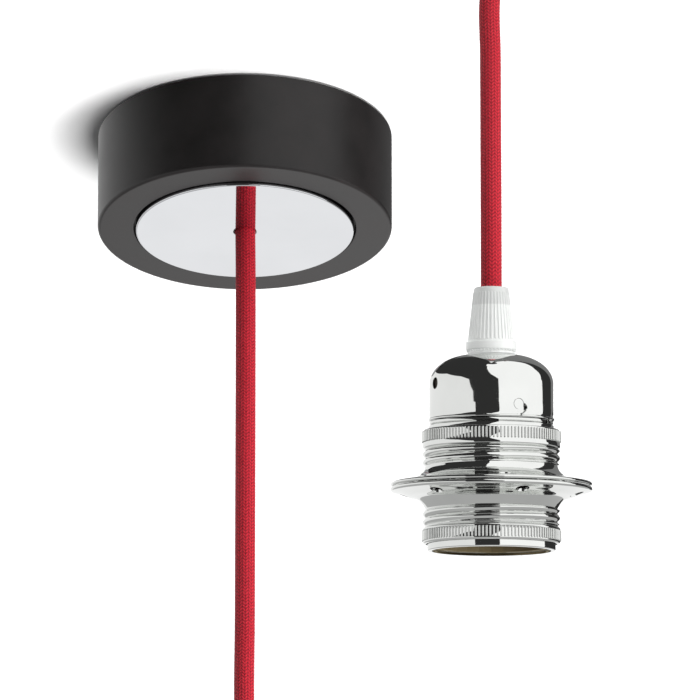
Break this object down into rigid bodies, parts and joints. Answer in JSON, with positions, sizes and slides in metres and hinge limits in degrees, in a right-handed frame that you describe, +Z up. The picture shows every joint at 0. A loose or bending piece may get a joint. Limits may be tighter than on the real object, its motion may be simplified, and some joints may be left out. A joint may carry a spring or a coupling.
{
  "type": "pendant cord set",
  "caption": "Pendant cord set: black ceiling canopy with a mirror disc, red textile cord over a ceiling hook, and a chromed E27 lamp holder with a cord grip and shade rings.",
  "frame": {"origin": "middle of the ceiling bracket's flat top face, on the ceiling", "axes": "+Z up, normal to the ceiling; +X to the right from the canopy towards the lamp holder; +Y away from someone who looks at the front"},
  "size_m": [0.1902, 0.2576, 0.3448],
  "materials": {
    "satin_black": "satin black",
    "mirror_steel": "polished mirror",
    "chrome": "bright chrome",
    "spring_steel": "plain",
    "zinc_steel": "zinc plated",
    "brass": "plain",
    "clear_plastic": "translucent white",
    "white_plastic": "plain",
    "ceramic": "glazed ceramic",
    "brown_liner": "plain",
    "red_textile": "braided",
    "core_brown": "plain",
    "core_blue": "plain",
    "core_green": "plain"
  },
  "bodies": {
    "root": {"canopy_body": "satin_black", "canopy_disc": "mirror_steel", "disc_clip_1": "spring_steel", "disc_clip_2": "spring_steel", "disc_clip_3": "spring_steel", "ceiling_bracket": "zinc_steel", "canopy_screw_1": "zinc_steel", "canopy_screw_2": "zinc_steel", "cord_clamp_base": "white_plastic", "cord_clamp_bridge": "white_plastic", "clamp_screw_1": "zinc_steel", "clamp_screw_2": "zinc_steel", "terminal_block": "white_plastic", "block_screw_1": "brass", "block_screw_2": "brass", "block_screw_3": "brass", "canopy_core_live": "core_brown", "canopy_core_earth": "core_green", "canopy_core_neutral": "core_blue", "cord": "red_textile", "swag_hook": "zinc_steel", "grip_nut": "clear_plastic", "grip_body": "clear_plastic", "stud_nut": "zinc_steel", "holder_cap": "chrome", "earth_screw": "brass", "holder_shell": "chrome", "shell_liner": "brown_liner", "terminal_carrier": "ceramic", "screw_shell": "brass", "shell_rivet_1": "brass", "shell_rivet_2": "brass", "centre_contact": "brass", "terminal_live": "brass", "terminal_neutral": "brass", "terminal_screw_live": "zinc_steel", "terminal_screw_neutral": "zinc_steel", "holder_core_live": "core_brown", "holder_core_neutral": "core_blue", "holder_core_earth": "core_green", "shade_ring_upper": "chrome", "shade_ring_lower": "chrome"}
  },
  "joints": []
}
